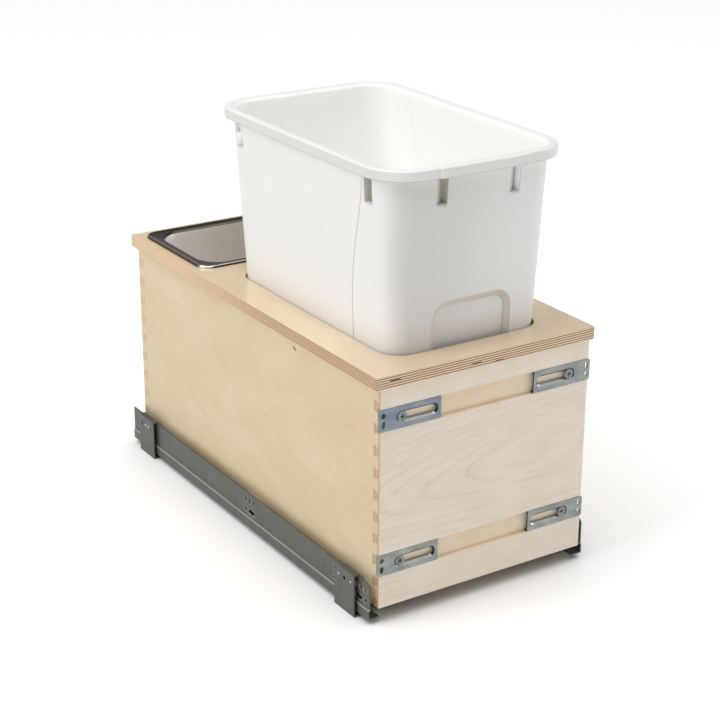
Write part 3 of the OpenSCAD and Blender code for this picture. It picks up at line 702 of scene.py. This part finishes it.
def binPlastic():
    # Its small emission is a painted glow on the inside.
    look = Look("binPlastic", Roughness=0.38, Specular_IOR_Level=0.45, Emission_Strength=0.05)
    seam, inside = seamLines(look), insideMask(look)
    outside = 1 - inside
    haze = look.noise(look.x * 0.01, look.y * 0.01, look.z * 0.01)
    frontShade = look.ramp(look.ny, -0.3, -0.9) * look.ramp(look.x, 70, -75)
    frontShade = frontShade * look.ramp(look.z, 230, 330, 0.4, 1.0)
    # Painted shade on the outer face of the rim, strongest on the sides.
    lipShade = (look.z > 461.5) * (look.z < 471.5) * (abs(look.nz) < 0.6) * outside
    # Painted shade under the rim, fading downwards.
    underRim = look.ramp(look.z, 461.6, 455, 0.55, 0.0) * (look.z < 462) * outside
    color = look.mix(look.ramp(haze, 0.3, 0.7), plastic["low"], plastic["high"])
    color = look.mix(frontShade * (look.z < 462) * 0.7, color, plastic["front"])
    # Painted light: the inside is lighter than the outside.
    color = look.mix(inside, color, plastic["inner"])
    color = look.mix(lipShade * look.ramp(look.ny, -0.2, -0.8, 0.75, 0.2), color, plastic["lipShade"])
    # Painted shade round the arch.
    color = look.mix(archSlopeShade(look), color, plastic["arch"])
    # Painted shade in the pockets and under the rim.
    color = look.mix(look.most(pocketShadeMask(look) * outside * 0.75, underRim), color, plastic["pocket"])
    # Painted light, reflected from the deck, low on the left side.
    leftFootLight = look.ramp(look.z, 350, 270) * look.ramp(look.nx, -0.2, -0.9)
    color = look.mix(leftFootLight * 0.7, color, plastic["foot"])
    look.set("Base Color", look.mix(seam * 0.75, color, plastic["seam"]))
    look.set("Emission Color", look.mix(inside, tint(0, 0, 0), plastic["paintedGlow"]))  # painted glow that lightens the inside
    pebble = look.noise(look.x * 2.2, look.y * 2.2, look.z * 2.2)
    look.bump(pebble - seam * 1.5, 0.00006)
    return look.material


binShell.data.materials.append(binPlastic())
print("bin done")


# Pan

panSize = {
    "half": 132.5, "front": 394.0, "rear": 556.0, "corner": 32, "wallSlope": 0.06,
    "seat": deck["foot"] + deck["depth"],  # the flange lies on the deck
}
# Each row below is (inset, height over the deck, corner radius). The flange goes over its hem into the bowl.
panFlange = (
    (13.2, -0.5, 32), (12.8, 1.2, 30), (2.0, 1.4, 17), (1.0, 0.9, 17.4), (0.6, 0.02, 17.6), (0.15, 0.1, 18),
    (0, 0.7, 18), (0, 1.6, 18), (0.25, 2.3, 18), (0.9, 2.8, 17.6), (1.8, 2.95, 17), (2.8, 2.8, 16.5),
    (3.4, 2.45, 16), (4.2, 2.3, 16), (5.6, 2.3, 17), (6.0, 2.15, 17.5), (10.6, 2.0, 24), (11.4, 1.9, 26),
    (12.2, 1.5, 28), (12.9, 0.7, 30), (13.3, -0.6, 31), (13.7, -4, 32))
panFoot = ((32, -100, 23), (26, -99.8, 27), (22, -98.2, 30), (19.4, -95, 31.5), (18.6, -90, 32))
panFloor = ((19.6, -91, 31.6), (20.6, -95, 31), (22.6, -97.6, 29.5), (26, -99, 27), (32, -99.2, 23))


def panRing(inset, rise, radius):
    def row(stop):
        front, rear = panSize["front"] + inset, panSize["rear"] - inset
        x, y, outward = outlinePoint(stop, panSize["half"] - inset, front, rear, radius)
        return x, y, panSize["seat"] + rise
    return row


def panWall(inset, drops):
    return [panRing(inset + drop * panSize["wallSlope"], -drop, panSize["corner"]) for drop in drops]


def panStops():
    counts = [12 if leg % 2 == 0 else 6 for leg in range(8)]
    return [(leg, k / count) for leg, count in enumerate(counts) for k in range(count)]


panRows = [panRing(*step) for step in panFoot] + panWall(13, (70, 50, 30, 12))
panRows += [panRing(*step) for step in panFlange]
panRows += panWall(13.8, (10, 25, 45, 65, 85)) + [panRing(*step) for step in panFloor]
panShell = swept("panShell", panStops(), panRows)
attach(panShell, "pan")
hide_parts("pan")

steel = {
    # low and high are the steel's own brushed tones; far is painted shade, flange and hem painted
    # reflections, line and glint painted highlights.
    "low": tint(226, 220, 213), "high": tint(236, 231, 225), "far": tint(176, 168, 158),
    "flange": tint(84, 77, 69), "hemReflection": tint(138, 108, 80),
    "line": tint(214, 206, 196), "glint": tint(250, 250, 248),
}


def stainless():
    look = Look("stainless")
    flange = look.ramp(look.z, 267.6, 269.2)
    brushed = look.noise(look.x * 0.02, look.y * 0.02, look.z * 1.4, 3.0, 0.6)
    bowl = look.mix(brushed, steel["low"], steel["high"])
    # Painted shade: the bowl darkens towards the right.
    bowl = look.mix(look.ramp(look.x, -100, 0) * 0.5, bowl, steel["far"])
    inset = panSize["half"] - abs(look.x)
    # The dark flange and the brown band on its hem are painted reflections.
    hemReflection = look.mix(look.near(inset, 2.85, 0.9, 0.4) * 0.8, steel["flange"], steel["hemReflection"])
    # Painted highlights along two lines on the flange.
    edgeHighlights = look.most(look.near(inset, 1.3, 0.4, 0.4), look.near(inset, 4.4, 0.4, 0.4))
    hemReflection = look.mix(edgeHighlights * 0.8, hemReflection, steel["line"])
    corner = look.ramp(look.distance(look.x + 127, look.y - 399), 12, 4) * (inset < 8)
    glint = look.most(corner, look.near(look.y, 396.2, 1.2, 0.6) * 0.8)
    look.set("Base Color", look.mix(flange, bowl, look.mix(glint, hemReflection, steel["glint"])))
    look.set("Metallic", 0.25 + flange * 0.75)
    look.set("Roughness", 0.4 - flange * 0.28)
    return look.material


panShell.data.materials.append(stainless())
print("pan done")


# Floor, lights and camera

studio = {
    "floor": (0.93, 0.93, 0.93, 1), "fill": 0.3,
    "wall": 0.93,  # what the camera sees behind the floor
    "sun": 2.25, "sunSpread": 70,
    "aim": (0, 0, 0.3), "panel": 1.6, "left": ((-2.4, 0.1, 2.3), 34), "right": ((2.8, -1.1, 0.9), 14),
}
view = {"place": (-1.0532, -1.6643, 0.9652), "heading": 32.88, "pitch": 21.69, "roll": 0.347, "lens": 87.8}


def floorSheet():
    mesh = bpy.data.meshes.new("ground")
    made = bmesh.new()
    bmesh.ops.create_grid(made, x_segments=1, y_segments=1, size=40)
    made.to_mesh(mesh)
    made.free()
    ground = bpy.data.objects.new("ground", mesh)
    ground.location = (0, 0, -0.0005)
    bpy.context.scene.collection.objects.link(ground)
    paper = Look("paper", Roughness=0.9, Specular_IOR_Level=0.1, Base_Color=studio["floor"])
    mesh.materials.append(paper.material)


def surroundings():
    world = bpy.data.worlds.new("studio")
    world.use_nodes = True
    nodes, links = world.node_tree.nodes, world.node_tree.links
    nodes["Background"].inputs["Color"].default_value = (1, 1, 1, 1)
    ray = nodes.new("ShaderNodeLightPath")
    strength = nodes.new("ShaderNodeMapRange")
    strength.inputs["To Min"].default_value = studio["fill"]
    strength.inputs["To Max"].default_value = studio["wall"]
    links.new(ray.outputs["Is Camera Ray"], strength.inputs["Value"])
    links.new(strength.outputs["Result"], nodes["Background"].inputs["Strength"])
    bpy.context.scene.world = world


def softbox(name, place, power):
    lamp = bpy.data.lights.new(name, "AREA")
    lamp.shape = "RECTANGLE"
    lamp.size = lamp.size_y = studio["panel"]
    lamp.energy = power
    holder = bpy.data.objects.new(name, lamp)
    holder.location = place
    holder.rotation_euler = (Vector(studio["aim"]) - Vector(place)).to_track_quat("-Z", "Y").to_euler()
    bpy.context.scene.collection.objects.link(holder)


def overhead():
    lamp = bpy.data.lights.new("overhead", "SUN")
    lamp.energy = studio["sun"]
    lamp.angle = math.radians(studio["sunSpread"])
    holder = bpy.data.objects.new("overhead", lamp)
    holder.location = (0, 0, 3)
    bpy.context.scene.collection.objects.link(holder)


def cameraOnStand():
    data = bpy.data.cameras.new("camera")
    data.sensor_width = 36
    data.lens = view["lens"]
    camera = bpy.data.objects.new("camera", data)
    heading, pitch, roll = (math.radians(view[angle]) for angle in ("heading", "pitch", "roll"))
    turned = Matrix.Rotation(-heading, 4, "Z") @ Matrix.Rotation(math.pi / 2 - pitch, 4, "X")
    camera.matrix_world = Matrix.Translation(view["place"]) @ turned @ Matrix.Rotation(roll, 4, "Z")
    bpy.context.scene.collection.objects.link(camera)
    bpy.context.scene.camera = camera


floorSheet()
surroundings()
overhead()
softbox("keyLeft", *studio["left"])
softbox("fillRight", *studio["right"])
cameraOnStand()
bpy.context.scene.view_settings.view_transform = "Standard"
print("stage done")
